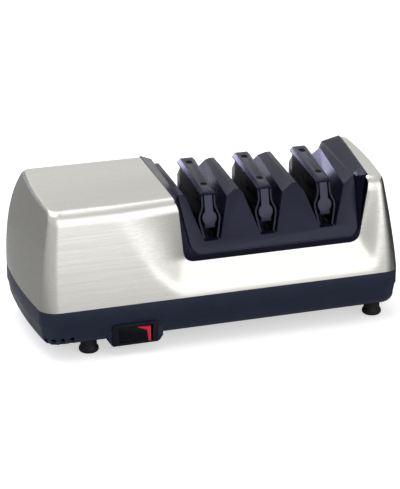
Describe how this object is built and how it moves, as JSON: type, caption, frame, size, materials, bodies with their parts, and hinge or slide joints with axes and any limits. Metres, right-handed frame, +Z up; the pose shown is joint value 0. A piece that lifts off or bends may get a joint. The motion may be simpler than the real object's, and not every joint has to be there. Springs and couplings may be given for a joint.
{
  "type": "electric knife sharpener",
  "caption": "Electric bench knife sharpener with a leaning brushed housing, a black tub base, a rocker switch and a guide module with paired knife slots over abrasive disks.",
  "frame": {"origin": "on the worktop, under the middle of the machine's overall box", "axes": "+X along the machine from the motor end to the last stage, +Y to the rear, +Z up"},
  "size_m": [0.254, 0.1117, 0.107],
  "materials": {
    "housing_steel": "brushed, satin",
    "base_black": "fine moulded texture",
    "guide_black": "polished moulding",
    "post_black": "polished moulding",
    "spring_steel": "rolled strip",
    "screw_steel": "blackened",
    "bezel_black": "satin moulding",
    "rocker_black": "polished moulding",
    "flag_red": "polished moulding",
    "terminal_brass": "tin plated",
    "lead_jacket": "smooth",
    "foot_rubber": "moulded",
    "lamination_steel": "stamped stack",
    "coil_copper": "varnished winding",
    "bracket_steel": "zinc plated",
    "bush_bronze": "sintered",
    "shaft_steel": "ground",
    "fan_plastic": "moulded",
    "abrasive_steel": "fine grit coat",
    "lever_plastic": "moulded",
    "pad_stone": "dressing stone",
    "magnet_ferrite": "sintered"
  },
  "bodies": {
    "machine": {"top_housing": "housing_steel", "base_tub": "base_black", "guide_module": "guide_black", "guide_post_1": "post_black", "guide_post_2": "post_black", "guide_post_3": "post_black", "post_cap_1": "post_black", "post_cap_2": "post_black", "post_cap_3": "post_black", "cap_screws": "screw_steel", "switch_bezel": "bezel_black", "switch_body": "bezel_black", "switch_terminals": "terminal_brass", "switch_leads": "lead_jacket", "cord_inlet": "foot_rubber", "foot_front_left": "foot_rubber", "foot_rear_left": "foot_rubber", "foot_front_right": "foot_rubber", "foot_rear_right": "foot_rubber", "foot_screws": "screw_steel", "motor_stator": "lamination_steel", "motor_coil": "coil_copper", "motor_bracket_left": "bracket_steel", "motor_bracket_right": "bracket_steel", "motor_bush_left": "bush_bronze", "motor_bush_right": "bush_bronze", "motor_bolts": "screw_steel", "end_bearing_bracket": "bracket_steel", "end_bush": "bush_bronze", "lever_screw": "screw_steel"},
    "rocker": {"rocker_button": "rocker_black", "rocker_flag": "flag_red"},
    "shaft": {"drive_shaft": "shaft_steel", "motor_rotor": "lamination_steel", "cooling_fan": "fan_plastic", "drive_pins": "shaft_steel", "disk_spring_1": "spring_steel", "disk_spring_2": "spring_steel", "disk_spring_3": "spring_steel"},
    "lever": {"dressing_lever": "lever_plastic", "dressing_pads": "pad_stone"},
    "cover": {"cleanout_cover": "base_black", "dust_magnet": "magnet_ferrite"},
    "spring_left_1": {"guide_spring_left_1": "spring_steel"},
    "disk_left_1": {"disk_left_1": "abrasive_steel"},
    "spring_right_1": {"guide_spring_right_1": "spring_steel"},
    "disk_right_1": {"disk_right_1": "abrasive_steel"},
    "spring_left_2": {"guide_spring_left_2": "spring_steel"},
    "disk_left_2": {"disk_left_2": "abrasive_steel"},
    "spring_right_2": {"guide_spring_right_2": "spring_steel"},
    "disk_right_2": {"disk_right_2": "abrasive_steel"},
    "spring_left_3": {"guide_spring_left_3": "spring_steel"},
    "disk_left_3": {"disk_left_3": "abrasive_steel"},
    "spring_right_3": {"guide_spring_right_3": "spring_steel"},
    "disk_right_3": {"disk_right_3": "abrasive_steel"}
  },
  "joints": [
    {"name": "rocker_tilt", "type": "hinge", "parent": "machine", "child": "rocker", "pos_m": [-0.0628, -0.048, 0.014], "axis": [0, 0, 1], "range_deg": [0, 14]},
    {"name": "shaft_spin", "type": "hinge", "parent": "machine", "child": "shaft", "pos_m": [0, 0, 0.058], "axis": [1, 0, 0], "continuous": true},
    {"name": "dressing_lever_swing", "type": "hinge", "parent": "machine", "child": "lever", "pos_m": [0.0762, 0.04, 0.027], "axis": [0, 0, 1], "range_deg": [-2.6, 2.6], "stiffness_Nm_per_rad": 0.3},
    {"name": "cover_slide", "type": "slide", "parent": "machine", "child": "cover", "axis": [1, 0, 0], "range_m": [0, 0.05]},
    {"name": "disk_left_1_slide", "type": "slide", "parent": "shaft", "child": "disk_left_1", "axis": [1, 0, 0], "range_m": [0, 0.0008], "stiffness_N_per_m": 500, "springref_m": -0.0005},
    {"name": "spring_left_1_flex", "type": "hinge", "parent": "machine", "child": "spring_left_1", "pos_m": [-0.0095, -0.029, 0.0945], "axis": [0, -0.9826, -0.1857], "range_deg": [0, 2], "stiffness_Nm_per_rad": 0.5, "springref_deg": -1.15},
    {"name": "disk_right_1_slide", "type": "slide", "parent": "shaft", "child": "disk_right_1", "axis": [-1, 0, 0], "range_m": [0, 0.0008], "stiffness_N_per_m": 500, "springref_m": -0.0005},
    {"name": "spring_right_1_flex", "type": "hinge", "parent": "machine", "child": "spring_right_1", "pos_m": [-0.0009, -0.029, 0.0945], "axis": [0, 0.9826, 0.1857], "range_deg": [0, 2], "stiffness_Nm_per_rad": 0.5, "springref_deg": -1.15},
    {"name": "disk_left_2_slide", "type": "slide", "parent": "shaft", "child": "disk_left_2", "axis": [1, 0, 0], "range_m": [0, 0.0008], "stiffness_N_per_m": 500, "springref_m": -0.0005},
    {"name": "spring_left_2_flex", "type": "hinge", "parent": "machine", "child": "spring_left_2", "pos_m": [0.0299, -0.029, 0.0945], "axis": [0, -0.9826, -0.1857], "range_deg": [0, 2], "stiffness_Nm_per_rad": 0.5, "springref_deg": -1.15},
    {"name": "disk_right_2_slide", "type": "slide", "parent": "shaft", "child": "disk_right_2", "axis": [-1, 0, 0], "range_m": [0, 0.0008], "stiffness_N_per_m": 500, "springref_m": -0.0005},
    {"name": "spring_right_2_flex", "type": "hinge", "parent": "machine", "child": "spring_right_2", "pos_m": [0.0385, -0.029, 0.0945], "axis": [0, 0.9826, 0.1857], "range_deg": [0, 2], "stiffness_Nm_per_rad": 0.5, "springref_deg": -1.15},
    {"name": "disk_left_3_slide", "type": "slide", "parent": "shaft", "child": "disk_left_3", "axis": [1, 0, 0], "range_m": [0, 0.0008], "stiffness_N_per_m": 500, "springref_m": -0.0005},
    {"name": "spring_left_3_flex", "type": "hinge", "parent": "machine", "child": "spring_left_3", "pos_m": [0.0719, -0.029, 0.0945], "axis": [0, -0.9826, -0.1857], "range_deg": [0, 2], "stiffness_Nm_per_rad": 0.5, "springref_deg": -1.15},
    {"name": "disk_right_3_slide", "type": "slide", "parent": "shaft", "child": "disk_right_3", "axis": [-1, 0, 0], "range_m": [0, 0.0008], "stiffness_N_per_m": 500, "springref_m": -0.0005},
    {"name": "spring_right_3_flex", "type": "hinge", "parent": "machine", "child": "spring_right_3", "pos_m": [0.0805, -0.029, 0.0945], "axis": [0, 0.9826, 0.1857], "range_deg": [0, 2], "stiffness_Nm_per_rad": 0.5, "springref_deg": -1.15}
  ]
}
